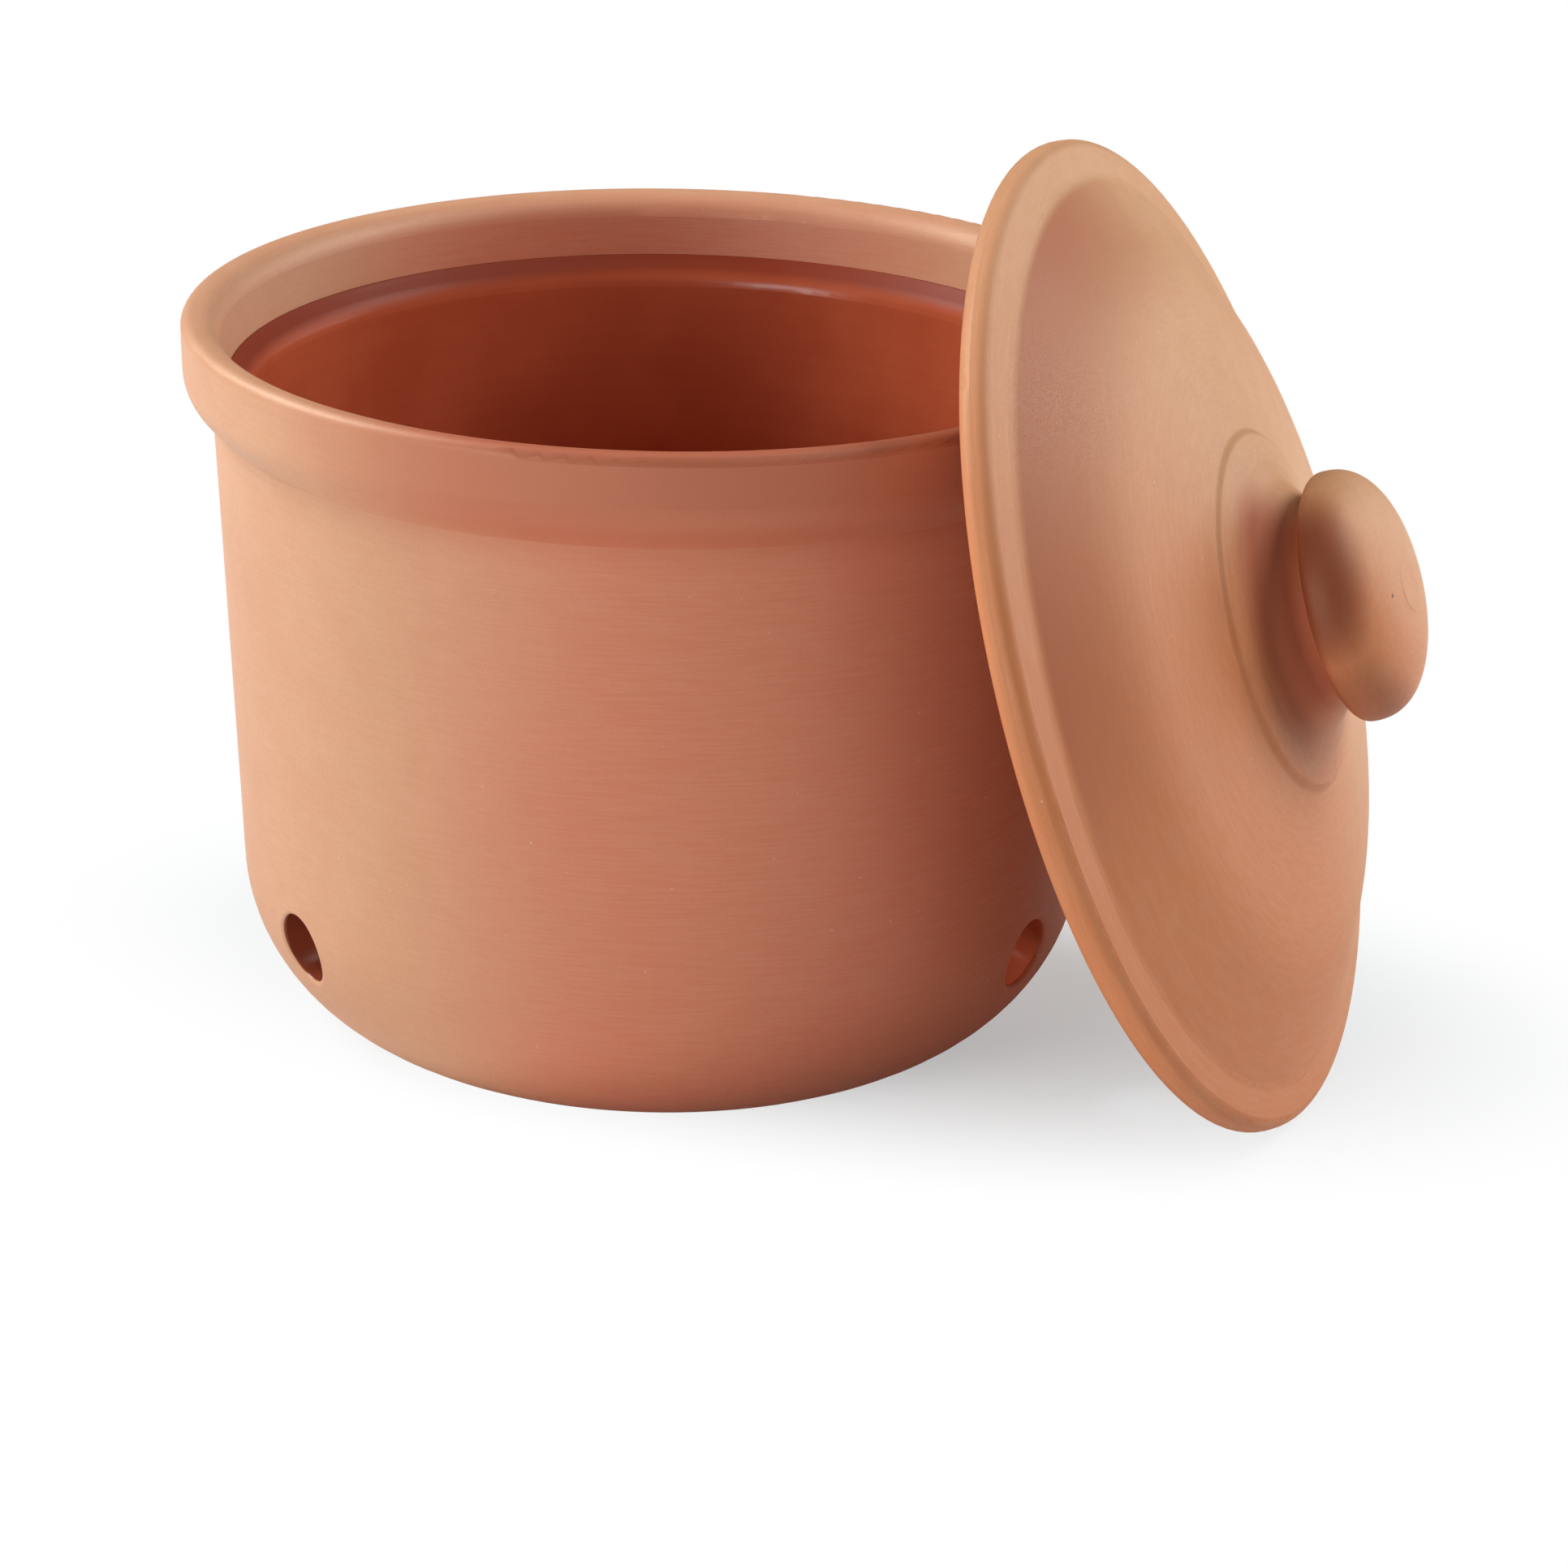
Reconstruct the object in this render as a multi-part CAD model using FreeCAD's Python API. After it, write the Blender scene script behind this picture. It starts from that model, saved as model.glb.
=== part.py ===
import FreeCAD, Part
import math
import os

os.makedirs("parts", exist_ok=True)

# Driving dimensions, in mm and degrees. Origin: centre of the pot's foot, +Z up.
# The lid is off, leans on the rim along +X and stands on the floor.

# Pot, outside
rim_radius = 109.9
pot_height = 168.8
foot_radius = 62.7
foot_rise_deg = 12.0          # how steeply the big corner leaves the floor
corner_round = 43.5
crease_radius = 103.0         # where the wall meets the collar's underside
crease_height = 146.4
wall_taper_deg = 2.9
collar_flare_height = 6.8     # the collar's rounded underside, above the crease
collar_flare_round = 10.0
collar_draft = 0.4            # the collar is this much narrower at its lower end

# Pot, inside
wall_thickness = 8.0
floor_thickness = 8.0
rim_outer_round = 2.4
rim_inner_round = 6.2
rim_thickness = 8.0
collar_face_slope_deg = 8.8   # the bare inner face of the collar, from upright
glaze_line_depth = 14.4       # from the rim's top down to where the glaze starts
cove_depth = 15.6
cove_round = 2.0
shoulder_width = 3.2          # sloping ledge under the cove
shoulder_drop = 3.2
shoulder_round = 6.0
glaze_thickness = 0.5
glaze_edge_round = 0.4        # the bead where the glaze ends

# Vents through the big corner
vent_count = 3
vent_radius = 8.2
vent_down_deg = 12.8
vent_first_azimuth = -128.4
vent_step_deg = 116.4         # bored by hand, not quite evenly
vent_lip_round = 0.9

# Lid, in its own frame: the axis is Z and the flange's underside is Z = 0
lid_radius = 112.9
flange_thickness = 6.7
flange_edge_round = 3.0
flange_top_round = 3.0
flange_draft = 0.7
dome_foot_radius = 103.4
dome_foot_rise = 1.8          # the flange's top climbs this much towards the dome
dome_foot_round = 6.0
dome_hip_radius = 91.0
dome_hip_height = 14.8
dome_hip_round = 40.0
dome_break_radius = 77.5
dome_break_height = 21.8
dome_break_round = 60.0
boss_radius = 39.8
boss_step = 1.3
boss_edge_height = 30.7
boss_edge_round = 1.6
boss_top_height = 32.5

# Lid, underside
ring_depth = 4.0
ring_width = 3.2
ring_clearance = 1.6          # between the locating ring and the collar's inner face
ring_round = 1.2
ring_inner_draft = 1.0        # the ring is this much thicker at its foot
hollow_hip_radius = 88.0
hollow_hip_height = 9.0
hollow_hip_round = 14.0
ceiling_radius = 74.0
ceiling_height = 14.0
ceiling_round = 25.0

# Knob
knob_base_radius = 33.2
neck_foot_radius = 28.4       # where the flare turns up into the neck
neck_foot_height = 34.6
neck_foot_round = 9.0
neck_radius = 23.0
neck_hip_height = 39.5
neck_hip_round = 5.0
neck_top_height = 42.1
neck_top_round = 1.6
knob_radius = 28.1
knob_underside_slope = 0.2
knob_underside_round = 2.4
knob_widest_height = 45.5
knob_top_height = 59.2
knob_power = 2.36             # 2 is an ellipse, more is squarer
knob_samples = 9

# How the lid leans
lean_deg = 70.6
lean_gap = 0.3
lean_solve_steps = 12

corner_room = 0.98            # share of a straight that its two corners may use


def radial(angle_deg):
    """Unit vector in the floor plane at an azimuth."""
    angle = math.radians(angle_deg)
    return FreeCAD.Vector(math.cos(angle), math.sin(angle), 0)


def heading(start, end):
    """Unit direction between two section points."""
    run = end[0] - start[0]
    rise = end[1] - start[1]
    length = math.hypot(run, rise)
    return run / length, rise / length


def turn_at(before, here, after):
    """Signed turn of a section outline at one of its points, in radians."""
    arriving = heading(before, here)
    leaving = heading(here, after)
    cross = arriving[0] * leaving[1] - arriving[1] * leaving[0]
    dot = arriving[0] * leaving[0] + arriving[1] * leaving[1]
    return math.atan2(cross, dot)


def tangent_lengths(points):
    """How far each rounded corner reaches along its straights, kept within them."""
    reach = [0.0] * len(points)
    for i in range(1, len(points) - 1):
        turn = abs(turn_at(points[i - 1], points[i], points[i + 1]))
        reach[i] = points[i][2] * math.tan(turn / 2)
    for i in range(len(points) - 1):
        room = corner_room * math.dist(points[i][:2], points[i + 1][:2])
        share = min(1.0, room / max(reach[i] + reach[i + 1], room))
        reach[i] *= share
        reach[i + 1] *= share
    return reach


def in_section(point):
    """A section point (radius, height) as a point in space."""
    return FreeCAD.Vector(point[0], 0, point[1])


def step_along(point, direction, length):
    """Section point moved along a direction."""
    return point[0] + direction[0] * length, point[1] + direction[1] * length


def corner_arc(before, here, after, reach):
    """Arc that rounds one corner, with its start and end."""
    arriving = heading(before, here)
    leaving = heading(here, after)
    half_turn = abs(turn_at(before, here, after)) / 2
    start = step_along(here, arriving, -reach)
    end = step_along(here, leaving, reach)
    inward = heading((0, 0), (leaving[0] - arriving[0], leaving[1] - arriving[1]))
    radius = reach / math.tan(half_turn)
    middle = step_along(here, inward, radius / math.cos(half_turn) - radius)
    arc = Part.Arc(in_section(start), in_section(middle), in_section(end))
    return start, arc.toShape(), end


def outline(points):
    """Edges through the points (radius, height, corner round), corners rounded."""
    reach = tangent_lengths(points)
    edges = []
    last = points[0]
    for i in range(1, len(points) - 1):
        if reach[i] > 0:
            start, arc, end = corner_arc(points[i - 1], points[i], points[i + 1], reach[i])
            edges += [Part.makeLine(in_section(last), in_section(start)), arc]
            last = end
        else:
            edges.append(Part.makeLine(in_section(last), in_section(points[i])))
            last = points[i]
    edges.append(Part.makeLine(in_section(last), in_section(points[-1])))
    return edges


def closed_section(edges):
    """Wire closed along the axis or straight between its two ends."""
    start = edges[0].Vertexes[0].Point
    end = edges[-1].Vertexes[-1].Point
    return Part.Wire(edges + [Part.makeLine(end, start)])


def spin(section):
    """Solid of revolution about Z."""
    axis = FreeCAD.Vector(0, 0, 1)
    return Part.Face(section).revolve(FreeCAD.Vector(), axis, 360)


def wall_radius(height, inset):
    """Radius of the pot's wall at a height, this far inside its outer face."""
    taper = math.tan(math.radians(wall_taper_deg))
    return crease_radius - (crease_height - height) * taper - inset


def big_corner():
    """Where the rising foot line meets the line of the outer wall."""
    taper = math.tan(math.radians(wall_taper_deg))
    rise = math.tan(math.radians(foot_rise_deg))
    run = (wall_radius(0, 0) - foot_radius) / (1 - taper * rise)
    return foot_radius + run, run * rise


def collar_inner_radius(depth):
    """Radius of the collar's bare inner face at a depth below the rim."""
    slope = math.tan(math.radians(collar_face_slope_deg))
    return rim_radius - rim_thickness - depth * slope


def pot_outside():
    """Outer outline of the pot, from the axis up to the rim."""
    corner = big_corner()
    flare_top = crease_height + collar_flare_height
    return [
        (0, 0, 0),
        (foot_radius, 0, 0),
        (corner[0], corner[1], corner_round),
        (crease_radius, crease_height, 0),
        (rim_radius - collar_draft, flare_top, collar_flare_round),
        (rim_radius, pot_height, rim_outer_round),
    ]


def cavity_side():
    """Inner outline of the pot below its bare collar, from the axis up to the glaze line."""
    inner_round = big_corner_arc()[1] - wall_thickness
    shoulder_radius = wall_radius(pot_height - cove_depth, wall_thickness)
    shoulder_height = pot_height - cove_depth - shoulder_drop
    return [
        (0, floor_thickness, 0),
        (wall_radius(floor_thickness, wall_thickness), floor_thickness, inner_round),
        (shoulder_radius, shoulder_height, shoulder_round),
        (shoulder_radius + shoulder_width, shoulder_height + shoulder_drop, cove_round),
        (collar_inner_radius(glaze_line_depth), pot_height - glaze_line_depth, 0),
    ]


def inset_outline(points, distance):
    """Same outline moved into the cavity, with its rounds kept concentric."""
    moved = [(0, points[0][1] + distance, 0)]
    for before, here, after in zip(points, points[1:], points[2:]):
        turn = turn_at(before, here, after)
        arriving = heading(before, here)
        leaving = heading(here, after)
        inward = heading((0, 0), (-arriving[1] - leaving[1], arriving[0] + leaving[0]))
        radius = here[2] - math.copysign(distance, turn)
        reach = distance / math.cos(turn / 2)
        moved.append((*step_along(here, inward, reach), radius))
    last = heading(points[-2], points[-1])
    moved.append((*step_along(points[-1], (-last[1], last[0]), distance), 0))
    return moved


def pot_section():
    """Closed section of the pot."""
    rim_inner = (collar_inner_radius(0), pot_height, rim_inner_round)
    glaze_end = cavity_side()[-1]
    around = pot_outside() + [rim_inner, glaze_end] + cavity_side()[-2::-1]
    return closed_section(outline(around))


def glaze_section():
    """Closed section of the glaze skin, between the pot's inner face and its own."""
    bare = cavity_side()
    fired = inset_outline(bare, glaze_thickness)
    bead = (*fired[-1][:2], glaze_edge_round)
    return closed_section(outline(bare) + outline([bare[-1], bead] + fired[-2::-1]))


def big_corner_arc():
    """Centre and radius of the big corner's arc, as its straights let it be."""
    outside = pot_outside()
    before, here, after = outside[1:4]
    half_turn = turn_at(before, here, after) / 2
    radius = tangent_lengths(outside)[2] / math.tan(half_turn)
    arriving = heading(before, here)
    leaving = heading(here, after)
    inward = heading((0, 0), (leaving[0] - arriving[0], leaving[1] - arriving[1]))
    return step_along(here, inward, radius / math.cos(half_turn)), radius


def vent_axes():
    """Start point and outward direction of each vent's axis."""
    centre = big_corner_arc()[0]
    down = math.radians(vent_down_deg)
    axes = []
    for i in range(vent_count):
        out = radial(vent_first_azimuth + i * vent_step_deg)
        start = out * centre[0] + FreeCAD.Vector(0, 0, centre[1])
        axes.append((start, out * math.cos(down) - FreeCAD.Vector(0, 0, math.sin(down))))
    return axes


def vent_drills():
    """One straight drill for each vent, from inside the cavity to outside the wall."""
    length = big_corner_arc()[1] + wall_thickness
    drills = [Part.makeCylinder(vent_radius, length, start, out) for start, out in vent_axes()]
    return Part.makeCompound(drills)


def is_vent_lip(edge):
    """True for the edge where a vent leaves the outer face."""
    outer_face = big_corner_arc()[1]
    for start, out in vent_axes():
        offset = edge.CenterOfMass - start
        along = offset.dot(out)
        aside = (offset - out * along).Length
        if aside < vent_radius / 2 and along > outer_face - wall_thickness / 2:
            return True
    return False


def make_pot():
    """The pot with its vents, lips rounded."""
    pot = spin(pot_section()).cut(vent_drills())
    lips = [edge for edge in pot.Edges if is_vent_lip(edge)]
    return pot.makeFillet(min(vent_lip_round, wall_thickness / 4), lips)


def make_glaze():
    """The glaze skin with the vents through it."""
    return spin(glaze_section()).cut(vent_drills())


def lid_top():
    """Upper outline of the lid, from the axis out to the flange's edge."""
    return [
        (0, boss_top_height, 0),
        (knob_base_radius, boss_top_height, 0),
        (boss_radius, boss_edge_height, boss_edge_round),
        (boss_radius + boss_step, boss_edge_height - boss_step, boss_edge_round),
        (dome_break_radius, dome_break_height, dome_break_round),
        (dome_hip_radius, dome_hip_height, dome_hip_round),
        (dome_foot_radius, flange_thickness + dome_foot_rise, dome_foot_round),
        (lid_radius - flange_draft, flange_thickness, flange_top_round),
        (lid_radius, 0, flange_edge_round),
    ]


def lid_underside():
    """Lower outline of the lid, from the seat in to the axis."""
    ring_outer = collar_inner_radius(ring_depth) - ring_clearance
    ring_inner = ring_outer - ring_width
    return [
        (ring_outer, 0, 0),
        (ring_outer, -ring_depth, ring_round),
        (ring_inner, -ring_depth, ring_round),
        (ring_inner - ring_inner_draft, 0, ring_round),
        (hollow_hip_radius, hollow_hip_height, hollow_hip_round),
        (ceiling_radius, ceiling_height, ceiling_round),
        (0, ceiling_height, 0),
    ]


def lid_section():
    """Closed section of the lid in its own frame."""
    return closed_section(outline(lid_top() + lid_underside()))


def knob_neck():
    """Outline of the neck and the knob's underside, up to its widest point."""
    under_run = knob_radius - neck_radius
    return [
        (0, boss_top_height, 0),
        (knob_base_radius, boss_top_height, 0),
        (neck_foot_radius, neck_foot_height, neck_foot_round),
        (neck_radius, neck_hip_height, neck_hip_round),
        (neck_radius, neck_top_height, neck_top_round),
        (knob_radius, neck_top_height + under_run * knob_underside_slope, knob_underside_round),
        (knob_radius, knob_widest_height, 0),
    ]


def knob_crown():
    """Rounded top of the knob, from its widest point to the axis."""
    rise = knob_top_height - knob_widest_height
    points = []
    for i in range(knob_samples + 1):
        angle = math.pi / 2 * i / knob_samples
        across = knob_radius * math.cos(angle) ** (2 / knob_power)
        height = knob_widest_height + rise * math.sin(angle) ** (2 / knob_power)
        points.append(in_section((across, height)))
    points[-1] = in_section((0, knob_top_height))
    curve = Part.BSplineCurve()
    curve.interpolate(
        Points=points,
        InitialTangent=FreeCAD.Vector(0, 0, 1),
        FinalTangent=FreeCAD.Vector(-1, 0, 0),
    )
    return curve.toShape()


def knob_section():
    """Closed section of the knob in the lid's frame."""
    return closed_section(outline(knob_neck()) + [knob_crown()])


def leaning(shape, along):
    """Shape from the lid's frame tilted towards +X, with the lid's edge on the floor."""
    lean = math.radians(lean_deg)
    edge_centre = lid_radius - flange_edge_round
    lift = edge_centre * math.sin(lean) - flange_edge_round * math.cos(lean) + flange_edge_round
    turn = FreeCAD.Rotation(FreeCAD.Vector(0, 1, 0), lean_deg)
    placed = shape.copy()
    placed.Placement = FreeCAD.Placement(FreeCAD.Vector(along, 0, lift), turn)
    return placed


def lean_position():
    """Where along X the leaning lid's underside comes within its gap of the rim."""
    half_turn = FreeCAD.Rotation(FreeCAD.Vector(0, 0, 1), 180)
    upper_half = Part.Wire([e.copy() for e in lid_section().Edges])
    upper_half = upper_half.transformGeometry(FreeCAD.Placement(FreeCAD.Vector(), half_turn).toMatrix())
    rim = pot_section()
    along = rim_radius + lid_radius
    for _ in range(lean_solve_steps):
        gap = rim.distToShape(leaning(upper_half, along))[0]
        along -= gap - lean_gap
    return along


along = lean_position()
make_pot().exportStep("parts/pot.step")
make_glaze().exportStep("parts/inner_glaze.step")
leaning(spin(lid_section()), along).exportStep("parts/lid.step")
leaning(spin(knob_section()), along).exportStep("parts/knob.step")
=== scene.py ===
import math

import bpy
from mathutils import Matrix, Vector

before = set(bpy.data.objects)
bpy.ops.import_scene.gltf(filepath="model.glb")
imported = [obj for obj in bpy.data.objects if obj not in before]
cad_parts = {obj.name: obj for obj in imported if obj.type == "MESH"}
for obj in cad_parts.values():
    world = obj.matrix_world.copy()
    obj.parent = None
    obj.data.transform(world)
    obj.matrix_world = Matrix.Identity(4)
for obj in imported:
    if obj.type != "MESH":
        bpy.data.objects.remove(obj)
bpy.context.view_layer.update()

MM = 0.001

# ---------------------------------------------------------------- camera, light and floor
# metres and degrees

LENS_MM = 121.12
SENSOR_MM = 36.0
CAMERA_AT = Vector((0.380495, -1.084703, 0.496908))
CAMERA_HEADING = -17.939               # turned from +Y, clockwise positive
CAMERA_DOWN = 21.045
CAMERA_ROLL = -1.1396
CAMERA_RANGE = (0.05, 20.0)            # nearest and farthest that it sees

LIT_POINT = Vector((0.04, 0.0, 0.1))   # what the softboxes aim at
SOFTBOX_DISTANCE = 1.4
SOFTBOX_SIZE = 0.6
SOFTBOXES = (                          # name, azimuth, height above the floor, watts
    ("key_left", 181.3, 40.0, 18.4),
    ("fill_front_left", 253.3, 12.0, 9.0),
    ("key_right", 31.3, 40.0, 11.7),
    ("low_right", 46.3, 12.0, 5.8),
    ("top_right", 1.3, 70.0, 2.2),
)

FLOOR_SIZE = 8.0
SHADOW_CENTRE = (0.035, 0.03, 0.0)
SHADOW_REACH = (0.170, 0.095, 1.0)     # how far the floor keeps its shadow, along X and Y
SHADOW_FADE = (0.35, 1.25)             # where it starts and ends to fade, as shares of the reach
SHADOW_VEIL = 0.42                     # share of plain white over the middle of the shadow
FLOOR_SEEN = (0.60, 0.72, 0.75, 1.0)   # linear, cool, so that the shadow isn't brown
FLOOR_BOUNCE = (0.88, 0.88, 0.87, 1.0)  # linear, what lights the clay from below
WHITE = (1.0, 1.0, 1.0, 1.0)

# ---------------------------------------------------------------- places on the pieces

POT_HEIGHT = 168.8 * MM
CREASE_HEIGHT = 146.4 * MM             # where the wall meets the collar
MOUTH_RADIUS = 105.0 * MM              # inside this and above the crease is the mouth
LEDGE_HEIGHT = POT_HEIGHT - 15.4 * MM  # just below where the glaze ends, the middle of a band of painted shade

# Vents: where each bore's axis starts, and which way it leaves
VENT_START_RADIUS = 54.19 * MM
VENT_START_HEIGHT = 42.66 * MM
VENT_DOWN = 12.8
VENT_AZIMUTHS = (-128.4, -12.0, 104.4)
VENT_GLAZE_RADIUS = 8.5 * MM

# The lid's own frame, and places in it
LID_FRAME_AT = Vector((0.116846, 0.0, 0.105664))
LID_LEAN = 70.6
DOME_SHADE_RADIUS = 101.0 * MM         # just inside the dome's foot, where its painted shade ends
CLEAR_OF_KNOB = 29.0 * MM              # a radius just outside the knob's
CROWN_HEIGHT = 40.5 * MM               # where the knob's crown begins, over its neck
PINHOLE_AT = Vector((-1.3, -12.56, 58.2)) * MM

# Sides where painted shade makes the clay redder and darker, as azimuths round the piece's own axis
POT_SHADE_SIDE = -28.7
MOUTH_SHADE_SIDE = 114.0
COLLAR_SHADE_SIDE = -50.0
LID_SHADE_SIDE = -60.0
DOME_FOOT_SHADE_SIDE = -135.0
NECK_SHADOW_SIDE = -100.0
KNOB_SHADE_SIDE = -115.0
KNOB_LOWER_SHADE_SIDE = -35.0
VENT_SHADE_SIDE = -130.0               # the vent on this side gets painted shade: darker glaze in its bore

# ---------------------------------------------------------------- sizes of the patterns

PROFILE_SLOPE = 0.83                   # share of the radius in the way along a section
TURNING_LINE = 0.55 * MM
THROWING_RING = 6.0 * MM
GRIT = 0.5 * MM                        # drawn coarse, so that it shows
MOTTLE = 9.0 * MM
PATCH = 55.0 * MM
PALE_SPECK, PALE_SPECK_SPACING = 0.35 * MM, 5.0 * MM
DARK_SPECK, DARK_SPECK_SPACING = 0.5 * MM, 17.0 * MM
SPECK_EDGE = 0.02                      # softness, as a share of the spacing
RING_RELIEF = 0.06 * MM
GRIT_RELIEF = 0.03 * MM
WARM_SHEEN = (1.0, 0.82, 0.62, 1.0)    # linear tint of what the bare clay reflects

GLAZE_LINE = 1.6 * MM
GLAZE_RIPPLE = 12.0 * MM
GLAZE_PATCH = 30.0 * MM
GLAZE_RELIEF = 0.10 * MM


# ---------------------------------------------------------------- node helpers

def srgb(hex_colour):
    """Linear colour of an sRGB hex string."""
    parts = [int(hex_colour[i:i + 2], 16) / 255 for i in (1, 3, 5)]
    linear = [p / 12.92 if p <= 0.04045 else ((p + 0.055) / 1.055) ** 2.4 for p in parts]
    return (*linear, 1.0)


def add(tree, kind, sockets=None, **settings):
    """Adds a node: settings are its properties, sockets its inputs, as values or links."""
    made = tree.nodes.new("ShaderNode" + kind)
    for key, value in settings.items():
        setattr(made, key, value)
    for key, value in (sockets or {}).items():
        if isinstance(value, bpy.types.NodeSocket):
            tree.links.new(value, made.inputs[key])
        else:
            made.inputs[key].default_value = value
    return made


def maths(tree, operation, *values):
    """Result of one operation on numbers."""
    return add(tree, "Math", dict(enumerate(values)), operation=operation).outputs[0]


def ramp(tree, value, low, high, out_low=0.0, out_high=1.0):
    """Value mapped from low..high to out_low..out_high, smooth and clamped."""
    sockets = {"Value": value, "From Min": low, "From Max": high,
               "To Min": out_low, "To Max": out_high}
    return add(tree, "MapRange", sockets, interpolation_type="SMOOTHSTEP").outputs["Result"]


def overlap(tree, *masks):
    """Product of masks: how far all of them hold."""
    product = masks[0]
    for mask in masks[1:]:
        product = maths(tree, "MULTIPLY", product, mask)
    return product


def mix(tree, factor, a, b):
    """Colour a where the factor is 0, b where it is 1."""
    return add(tree, "Mix", {0: factor, 6: a, 7: b}, data_type="RGBA").outputs[2]


def new_material(name):
    """Material with an empty tree, and its output node."""
    material = bpy.data.materials.new(name)
    material.use_nodes = True
    tree = material.node_tree
    tree.nodes.clear()
    return material, tree, add(tree, "OutputMaterial")


def turned_frame(tree, at, lean):
    """Coordinates of a turned piece: (point, unit direction from its axis, radius, height)."""
    back = Matrix.Rotation(math.radians(-lean), 3, "Y")
    point = add(tree, "Mapping", {
        "Vector": add(tree, "TexCoord").outputs["Object"],
        "Rotation": (0.0, math.radians(-lean), 0.0),
        "Location": -(back @ at),
    }).outputs[0]
    axes = add(tree, "SeparateXYZ", {0: point}).outputs
    flat = add(tree, "CombineXYZ", {0: axes[0], 1: axes[1]}).outputs[0]
    radius = add(tree, "VectorMath", {0: flat}, operation="LENGTH").outputs["Value"]
    around = add(tree, "VectorMath", {0: flat}, operation="NORMALIZE").outputs[0]
    return point, around, radius, axes[2]


def ring_noise(tree, around, along, width, spread, detail=2.0):
    """Noise drawn out round the axis: rings of a width in metres, broken up by spread."""
    wide = add(tree, "VectorMath", {0: around, "Scale": spread}, operation="SCALE").outputs[0]
    tall = add(tree, "CombineXYZ", {2: maths(tree, "DIVIDE", along, width)}).outputs[0]
    where = add(tree, "VectorMath", {0: wide, 1: tall}, operation="ADD").outputs[0]
    return add(tree, "TexNoise", {"Vector": where, "Scale": 1.0, "Detail": detail}).outputs[0]


def grain_noise(tree, point, size, detail=2.0):
    """Even noise with grains of a size in metres."""
    return add(tree, "TexNoise", {"Vector": point, "Scale": 1 / size, "Detail": detail}).outputs[0]


def specks(tree, point, spacing, size):
    """Scattered round specks up to a size: 1 inside a speck."""
    cells = add(tree, "TexVoronoi", {"Vector": point, "Scale": 1 / spacing, "Randomness": 1.0})
    picked = add(tree, "SeparateColor", {0: cells.outputs["Color"]}).outputs[0]
    reach = maths(tree, "MULTIPLY", picked, size / spacing)
    past_edge = maths(tree, "SUBTRACT", cells.outputs["Distance"], reach)
    return ramp(tree, past_edge, 0.0, -SPECK_EDGE)


def facing(tree, around, azimuth):
    """How much a side of a turned piece lies towards an azimuth, from -1 to 1."""
    turn = math.radians(azimuth)
    toward = (math.cos(turn), math.sin(turn), 0.0)
    return add(tree, "VectorMath", {0: around, 1: toward}, operation="DOT_PRODUCT").outputs["Value"]


def in_vent(tree, point):
    """1 inside the bores of the vents, in the pot's frame."""
    down = math.radians(VENT_DOWN)
    nearest = None
    for azimuth in VENT_AZIMUTHS:
        turn = math.radians(azimuth)
        out = Vector((math.cos(turn), math.sin(turn), 0.0))
        start = out * VENT_START_RADIUS + Vector((0.0, 0.0, VENT_START_HEIGHT))
        axis = out * math.cos(down) - Vector((0.0, 0.0, math.sin(down)))
        offset = add(tree, "VectorMath", {0: point, 1: start}, operation="SUBTRACT").outputs[0]
        along = add(tree, "VectorMath", {0: offset, 1: axis}, operation="DOT_PRODUCT").outputs["Value"]
        foot = add(tree, "VectorMath", {0: offset, 1: axis}, operation="PROJECT").outputs[0]
        aside = add(tree, "VectorMath", {0: offset, 1: foot}, operation="DISTANCE").outputs["Value"]
        # A metre is added behind the start, so that the far side of the pot stays bare
        behind = maths(tree, "LESS_THAN", along, 0.0)
        aside = maths(tree, "ADD", aside, behind)
        nearest = aside if nearest is None else maths(tree, "MINIMUM", nearest, aside)
    return ramp(tree, nearest, VENT_GLAZE_RADIUS, VENT_GLAZE_RADIUS - 0.2 * MM)


# ---------------------------------------------------------------- materials

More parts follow.
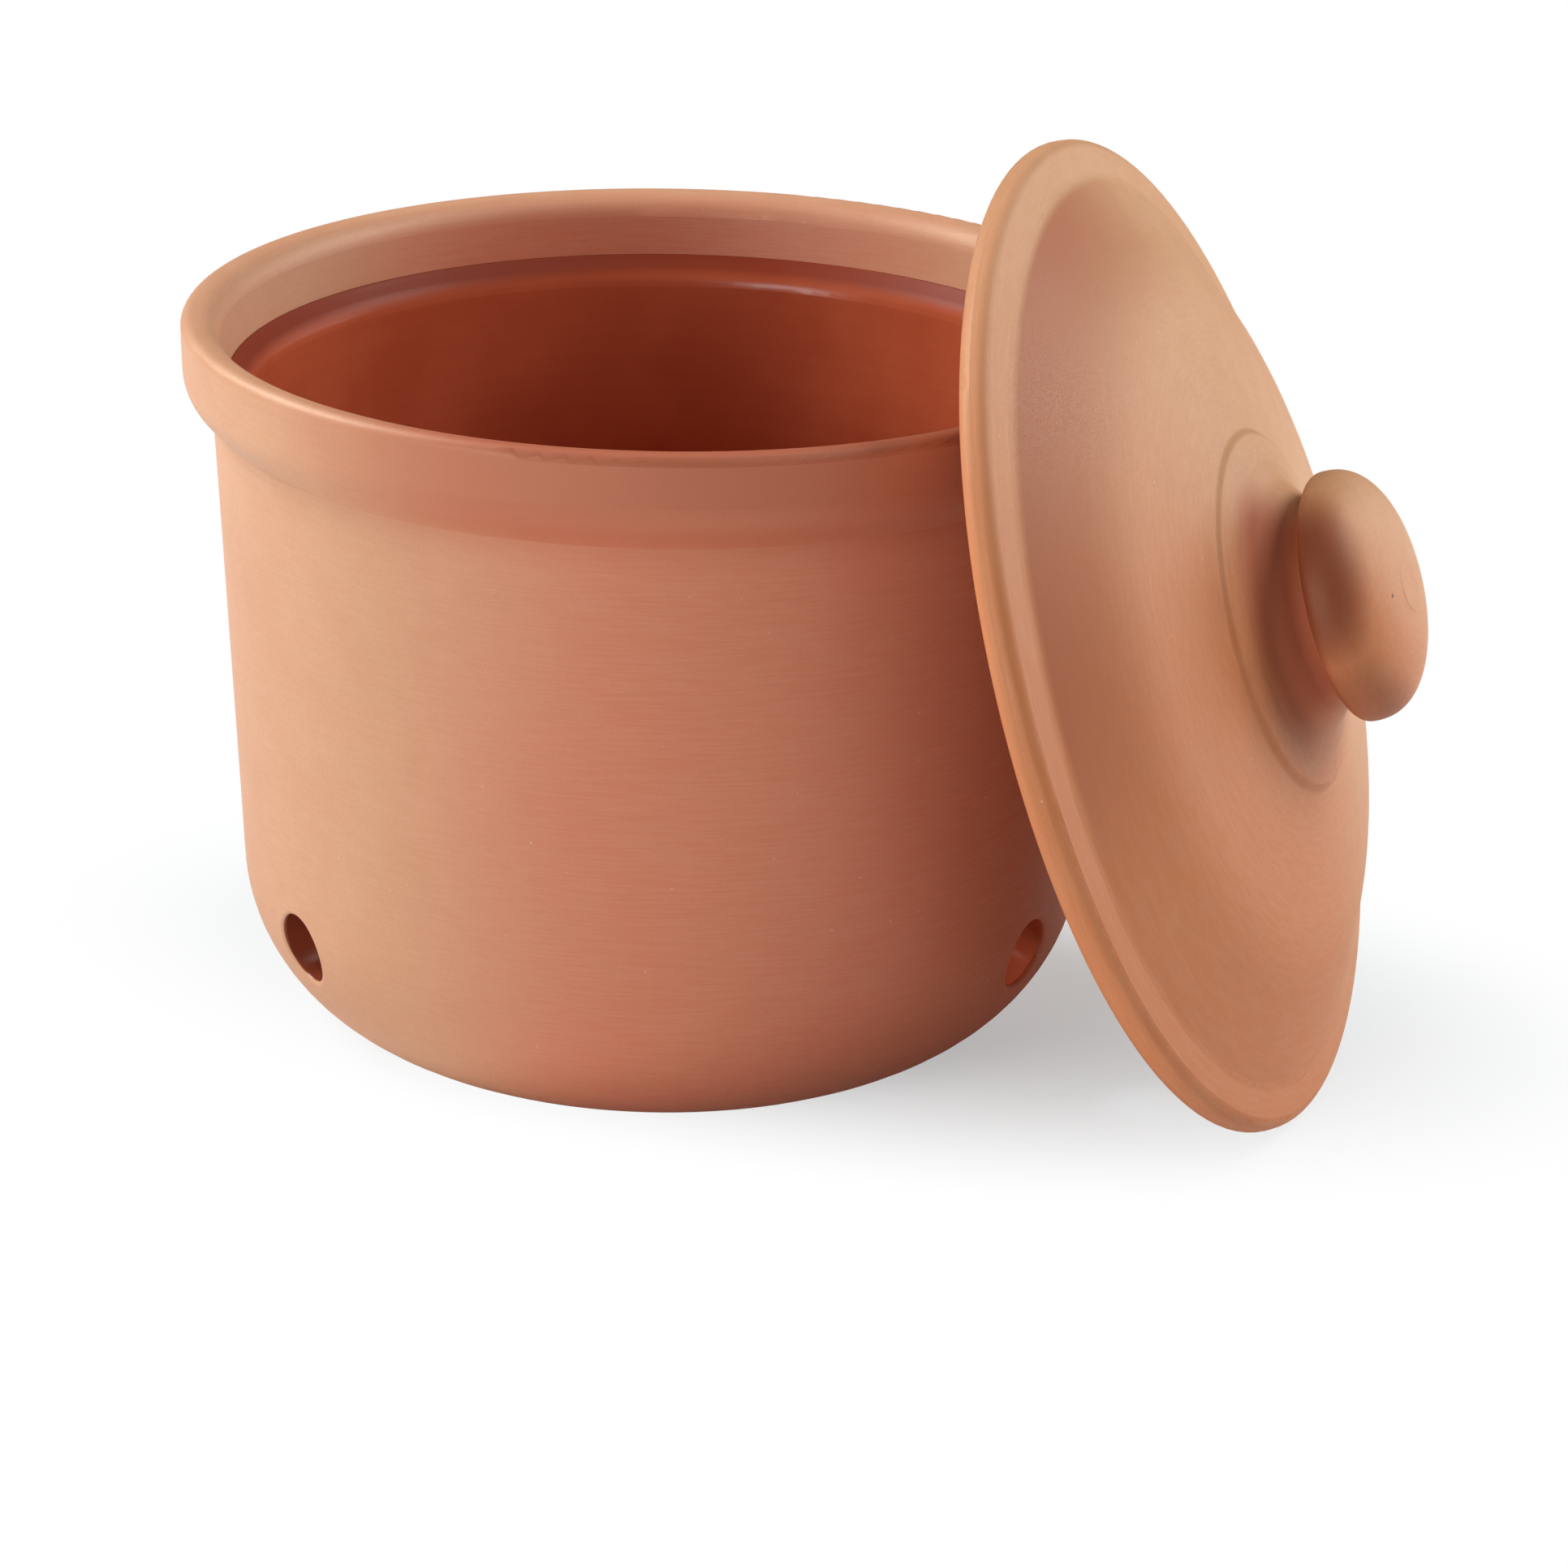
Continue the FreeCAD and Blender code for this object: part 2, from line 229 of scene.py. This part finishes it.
def bare_clay(tree, frame_parts, redder, pale, deep, gloss):
    """Fired red earthenware, thrown and left bare: matte, warm and softly mottled.

    It has fine turning lines, shallow throwing rings, a sandy grain and a few specks. redder
    says where painted shade turns it from the two pale colours to the deep one.
    """
    point, around, radius, height = frame_parts
    along = maths(tree, "MULTIPLY_ADD", radius, PROFILE_SLOPE, height)
    lines = ring_noise(tree, around, along, TURNING_LINE, 9.0)
    rings = ring_noise(tree, around, along, THROWING_RING, 0.5, 0.0)
    # Faded near the axis, where drawn rings would pinch
    rings = overlap(tree, rings, ramp(tree, radius, 8 * MM, 24 * MM))
    grain = grain_noise(tree, point, GRIT)
    patches = grain_noise(tree, point, PATCH, 3.0)
    mottle = grain_noise(tree, point, MOTTLE, 3.0)
    pale_specks = specks(tree, point, PALE_SPECK_SPACING, PALE_SPECK)
    dark_specks = specks(tree, point, DARK_SPECK_SPACING, DARK_SPECK)

    colour = mix(tree, ramp(tree, patches, 0.35, 0.65), srgb(pale[0]), srgb(pale[1]))
    colour = mix(tree, redder, colour, srgb(deep))
    for strength, toned in (
        (ramp(tree, mottle, 0.3, 0.7, 0.0, 0.15), "#BE7C5A"),
        (ramp(tree, lines, 0.35, 0.65, 0.0, 0.08), "#DDB498"),
        (ramp(tree, grain, 0.4, 0.7, 0.0, 0.10), "#AD7150"),
        (maths(tree, "MULTIPLY", pale_specks, 0.35), "#E8C4A8"),
        (maths(tree, "MULTIPLY", dark_specks, 0.4), "#7E4630"),
    ):
        colour = mix(tree, strength, colour, srgb(toned))

    fine = maths(tree, "MULTIPLY_ADD", lines, 0.6, maths(tree, "MULTIPLY", grain, 0.5))
    normal = add(tree, "Bump", {"Distance": RING_RELIEF, "Height": rings}).outputs[0]
    normal = add(tree, "Bump", {"Distance": GRIT_RELIEF, "Height": fine, "Normal": normal}).outputs[0]
    clay = add(tree, "BsdfPrincipled", {
        "Base Color": colour,
        "Roughness": ramp(tree, grain, 0.3, 0.7, 0.5, 0.6),
        "Specular IOR Level": gloss,
        "Specular Tint": WARM_SHEEN,
        "Normal": normal,
    })
    return clay, colour


def fired_glaze(tree, frame_parts, painted_shade):
    """Clear glaze fired over the red clay: dark, warm and glossy.

    Just below where it ends at the ledge it is duller, and painted shade darkens a band there.
    The last argument says where else painted shade darkens it.
    """
    point, around, radius, height = frame_parts
    along = maths(tree, "MULTIPLY_ADD", radius, PROFILE_SLOPE, height)
    lines = ring_noise(tree, around, along, GLAZE_LINE, 1.6)
    patches = grain_noise(tree, point, GLAZE_PATCH, 3.0)
    ripple = grain_noise(tree, point, GLAZE_RIPPLE, 1.0)
    from_ledge = maths(tree, "ABSOLUTE", maths(tree, "SUBTRACT", height, LEDGE_HEIGHT))
    # Painted shade in a band round the ledge, just below the glaze's end
    ledge_shade = ramp(tree, from_ledge, 4 * MM, 1 * MM, 0.0, 0.8)
    dull = ramp(tree, from_ledge, 5 * MM, 3 * MM)

    colour = mix(tree, ramp(tree, patches, 0.35, 0.65), srgb("#B05335"), srgb("#B95B3B"))
    colour = mix(tree, ramp(tree, lines, 0.35, 0.65, 0.0, 0.08), colour, srgb("#964027"))
    colour = mix(tree, ledge_shade, colour, srgb("#7E2F1B"))
    # Painted shade, darker where the last argument says
    colour = mix(tree, painted_shade, colour, srgb("#6A2E1E"))

    rough = ramp(tree, patches, 0.3, 0.7, 0.2, 0.26)
    relief = maths(tree, "MULTIPLY_ADD", lines, 0.25, ripple)
    return add(tree, "BsdfPrincipled", {
        "Base Color": colour,
        "Roughness": maths(tree, "MULTIPLY_ADD", dull, 0.2, rough),
        "Specular IOR Level": ramp(tree, dull, 0.0, 1.0, 0.35, 0.12),
        "Normal": add(tree, "Bump", {"Distance": GLAZE_RELIEF, "Height": relief}).outputs[0],
    }).outputs[0]


def pot_earthenware(name):
    """Bare clay with painted shade, redder to one side, on the collar and in the mouth, and glaze in
    the vents.
    """
    material, tree, output = new_material(name)
    parts = turned_frame(tree, Vector(), 0.0)
    point, around, radius, height = parts

    # Painted shade: the outer wall redder and darker towards its shaded side
    patches = grain_noise(tree, point, PATCH, 3.0)
    side = maths(tree, "MULTIPLY_ADD", patches, 0.3, facing(tree, around, POT_SHADE_SIDE))
    outside = ramp(tree, side, 0.25, 0.85)
    # Painted shade: redder inside the mouth on its far side, below the rim
    back = ramp(tree, facing(tree, around, MOUTH_SHADE_SIDE), 0.6, 1.0)
    below_rim = ramp(tree, height, POT_HEIGHT + 3 * MM, POT_HEIGHT - 8 * MM)
    above_crease = ramp(tree, height, CREASE_HEIGHT + 3 * MM, CREASE_HEIGHT + 6 * MM)
    within = ramp(tree, radius, MOUTH_RADIUS + 1 * MM, MOUTH_RADIUS - 1 * MM)
    mouth = overlap(tree, above_crease, within)
    redder = mix(tree, mouth, outside, overlap(tree, below_rim, back))
    clay, colour = bare_clay(tree, parts, redder, ("#C8916F", "#CC9775"), "#C77054", 1.0)

    # Painted shade: the collar darker towards its shaded side
    collar = overlap(
        tree,
        ramp(tree, height, CREASE_HEIGHT - 8 * MM, CREASE_HEIGHT + 6 * MM),
        ramp(tree, facing(tree, around, COLLAR_SHADE_SIDE), 0.25, 0.85),
        ramp(tree, mouth, 1.0, 0.0),
    )
    tree.links.new(mix(tree, collar, colour, srgb("#B46145")), clay.inputs["Base Color"])

    # Painted shade: darker glaze in the vent on the shaded side
    painted_shade = ramp(tree, facing(tree, around, VENT_SHADE_SIDE), 0.0, 0.9, 0.0, 0.8)
    glaze = fired_glaze(tree, parts, painted_shade)
    shader = add(tree, "MixShader", {0: in_vent(tree, point), 1: clay.outputs[0], 2: glaze})
    tree.links.new(shader.outputs[0], output.inputs[0])
    return material


def lid_earthenware(name):
    """Bare clay of the lid and its knob.

    It has painted shade, redder to one side, at the dome's foot, on the crown's flank and in the
    pinhole, and a painted shadow of the knob round its neck.
    """
    material, tree, output = new_material(name)
    parts = turned_frame(tree, LID_FRAME_AT, LID_LEAN)
    point, around, radius, height = parts

    # Painted shade: redder and darker towards the lid's shaded side
    patches = grain_noise(tree, point, PATCH, 3.0)
    side = overlap(tree, facing(tree, around, LID_SHADE_SIDE), ramp(tree, radius, 0.0, 26 * MM))
    side = maths(tree, "MULTIPLY_ADD", patches, 0.4, side)
    redder = ramp(tree, side, -0.5, 1.1, 0.0, 0.9)
    clay, colour = bare_clay(tree, parts, redder, ("#CB976D", "#CF9D75"), "#C97748", 0.5)

    # Painted shade on the dome's foot, on its shaded side
    dome_foot = overlap(
        tree,
        ramp(tree, radius, DOME_SHADE_RADIUS - 37 * MM, DOME_SHADE_RADIUS),
        ramp(tree, radius, DOME_SHADE_RADIUS + 2 * MM, DOME_SHADE_RADIUS),
        ramp(tree, facing(tree, around, DOME_FOOT_SHADE_SIDE), 0.35, 0.9),
    )
    # Painted shadow of the knob round its neck, on the shaded side; it also lowers the specular there
    neck = overlap(
        tree,
        ramp(tree, radius, CLEAR_OF_KNOB + 9 * MM, CLEAR_OF_KNOB),
        ramp(tree, height, CROWN_HEIGHT + 4.5 * MM, CROWN_HEIGHT),
        ramp(tree, facing(tree, around, NECK_SHADOW_SIDE), 0.1, 0.8),
    )
    # Painted shade on the crown's flank towards its shaded side, weaker on its lower side
    out_to_flank = maths(tree, "MULTIPLY", facing(tree, around, KNOB_SHADE_SIDE), radius)
    out_to_second = maths(tree, "MULTIPLY", facing(tree, around, KNOB_LOWER_SHADE_SIDE), radius)
    flank = maths(
        tree, "MAXIMUM",
        ramp(tree, out_to_flank, 18 * MM, 27 * MM),
        ramp(tree, out_to_second, 18 * MM, 27.5 * MM, 0.0, 0.6),
    )
    crown = overlap(
        tree,
        ramp(tree, radius, CLEAR_OF_KNOB + 1 * MM, CLEAR_OF_KNOB),
        ramp(tree, height, CROWN_HEIGHT, CROWN_HEIGHT + 3 * MM),
    )
    # Painted shade: the pinhole dark inside
    from_pinhole = add(tree, "VectorMath", {0: point, 1: PINHOLE_AT}, operation="DISTANCE")
    pinhole = ramp(tree, from_pinhole.outputs["Value"], 0.6 * MM, 0.35 * MM)
    for strength, toned in (
        (dome_foot, "#AF6340"),
        (neck, "#B26549"),
        (overlap(tree, flank, crown), "#8F4B31"),
        (pinhole, "#5A2E1E"),
    ):
        colour = mix(tree, strength, colour, srgb(toned))
    tree.links.new(colour, clay.inputs["Base Color"])
    tree.links.new(ramp(tree, neck, 0.0, 1.0, 0.5, 0.1), clay.inputs["Specular IOR Level"])
    tree.links.new(clay.outputs[0], output.inputs[0])
    return material


def inside_glaze(name):
    """The glaze of the pot's inside."""
    material, tree, output = new_material(name)
    tree.links.new(fired_glaze(tree, turned_frame(tree, Vector(), 0.0), 0.0), output.inputs[0])
    return material


def paint(node, material):
    """Gives every face of a CAD node one material."""
    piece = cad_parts[node]
    if not piece.material_slots:
        piece.data.materials.append(material)
    for slot in piece.material_slots:
        slot.material = material


paint("pot", pot_earthenware("unglazed_earthenware_pot"))
lid_clay = lid_earthenware("unglazed_earthenware_lid")
paint("lid", lid_clay)
paint("knob", lid_clay)
paint("inner_glaze", inside_glaze("transparent_glaze"))


# ---------------------------------------------------------------- the studio

def white_floor():
    """Pale floor that keeps the shadow near the object and is plain white away from it."""
    bpy.ops.mesh.primitive_plane_add(size=FLOOR_SIZE, location=SHADOW_CENTRE)
    floor = bpy.context.object
    floor.name = "floor"
    material, tree, output = new_material("matte_white_floor")
    where = add(tree, "TexCoord").outputs["Object"]
    scaled = add(tree, "VectorMath", {0: where, 1: SHADOW_REACH}, operation="DIVIDE").outputs[0]
    away = add(tree, "VectorMath", {0: scaled}, operation="LENGTH").outputs["Value"]
    seen = add(tree, "LightPath").outputs["Is Camera Ray"]
    veil = overlap(tree, seen, ramp(tree, away, *SHADOW_FADE, SHADOW_VEIL, 1.0))
    paper = add(tree, "BsdfDiffuse", {"Color": mix(tree, seen, FLOOR_BOUNCE, FLOOR_SEEN)})
    white = add(tree, "Emission", {"Color": WHITE})
    shader = add(tree, "MixShader", {0: veil, 1: paper.outputs[0], 2: white.outputs[0]})
    tree.links.new(shader.outputs[0], output.inputs[0])
    floor.data.materials.append(material)


def white_world():
    """Surroundings that are plain white to the camera and give no light."""
    world = bpy.data.worlds.new("white_surroundings")
    bpy.context.scene.world = world
    world.use_nodes = True
    tree = world.node_tree
    tree.nodes.clear()
    seen = add(tree, "LightPath").outputs["Is Camera Ray"]
    sky = add(tree, "Background", {"Color": WHITE, "Strength": seen})
    tree.links.new(sky.outputs[0], add(tree, "OutputWorld").inputs[0])


def softbox(name, azimuth, height_deg, watts):
    """Square soft light round the object, as an azimuth and a height above the floor in degrees."""
    light = bpy.data.lights.new(name, "AREA")
    light.shape = "SQUARE"
    light.size = SOFTBOX_SIZE
    light.energy = watts
    lamp = bpy.data.objects.new(name, light)
    bpy.context.collection.objects.link(lamp)
    turn, rise = math.radians(azimuth), math.radians(height_deg)
    out = Vector((math.cos(turn) * math.cos(rise), math.sin(turn) * math.cos(rise), math.sin(rise)))
    lamp.location = LIT_POINT + out * SOFTBOX_DISTANCE
    lamp.rotation_euler = (-out).to_track_quat("-Z", "Y").to_euler()


def place_camera():
    """Camera from its heading, tilt and roll."""
    heading, down, roll = (math.radians(a) for a in (CAMERA_HEADING, CAMERA_DOWN, CAMERA_ROLL))
    level = Vector((math.sin(heading), math.cos(heading), 0.0))
    forward = level * math.cos(down) - Vector((0.0, 0.0, math.sin(down)))
    right = Vector((math.cos(heading), -math.sin(heading), 0.0))
    below = forward.cross(right)
    rolled_right = math.cos(roll) * right + math.sin(roll) * below
    rolled_below = math.cos(roll) * below - math.sin(roll) * right
    data = bpy.data.cameras.new("camera")
    data.lens = LENS_MM
    data.sensor_width = SENSOR_MM
    data.clip_start, data.clip_end = CAMERA_RANGE
    camera = bpy.data.objects.new("camera", data)
    bpy.context.collection.objects.link(camera)
    turn = Matrix((rolled_right, -rolled_below, -forward)).transposed()
    camera.matrix_world = Matrix.Translation(CAMERA_AT) @ turn.to_4x4()
    bpy.context.scene.camera = camera


white_floor()
white_world()
for box in SOFTBOXES:
    softbox(*box)
place_camera()
bpy.context.scene.view_settings.view_transform = "Standard"
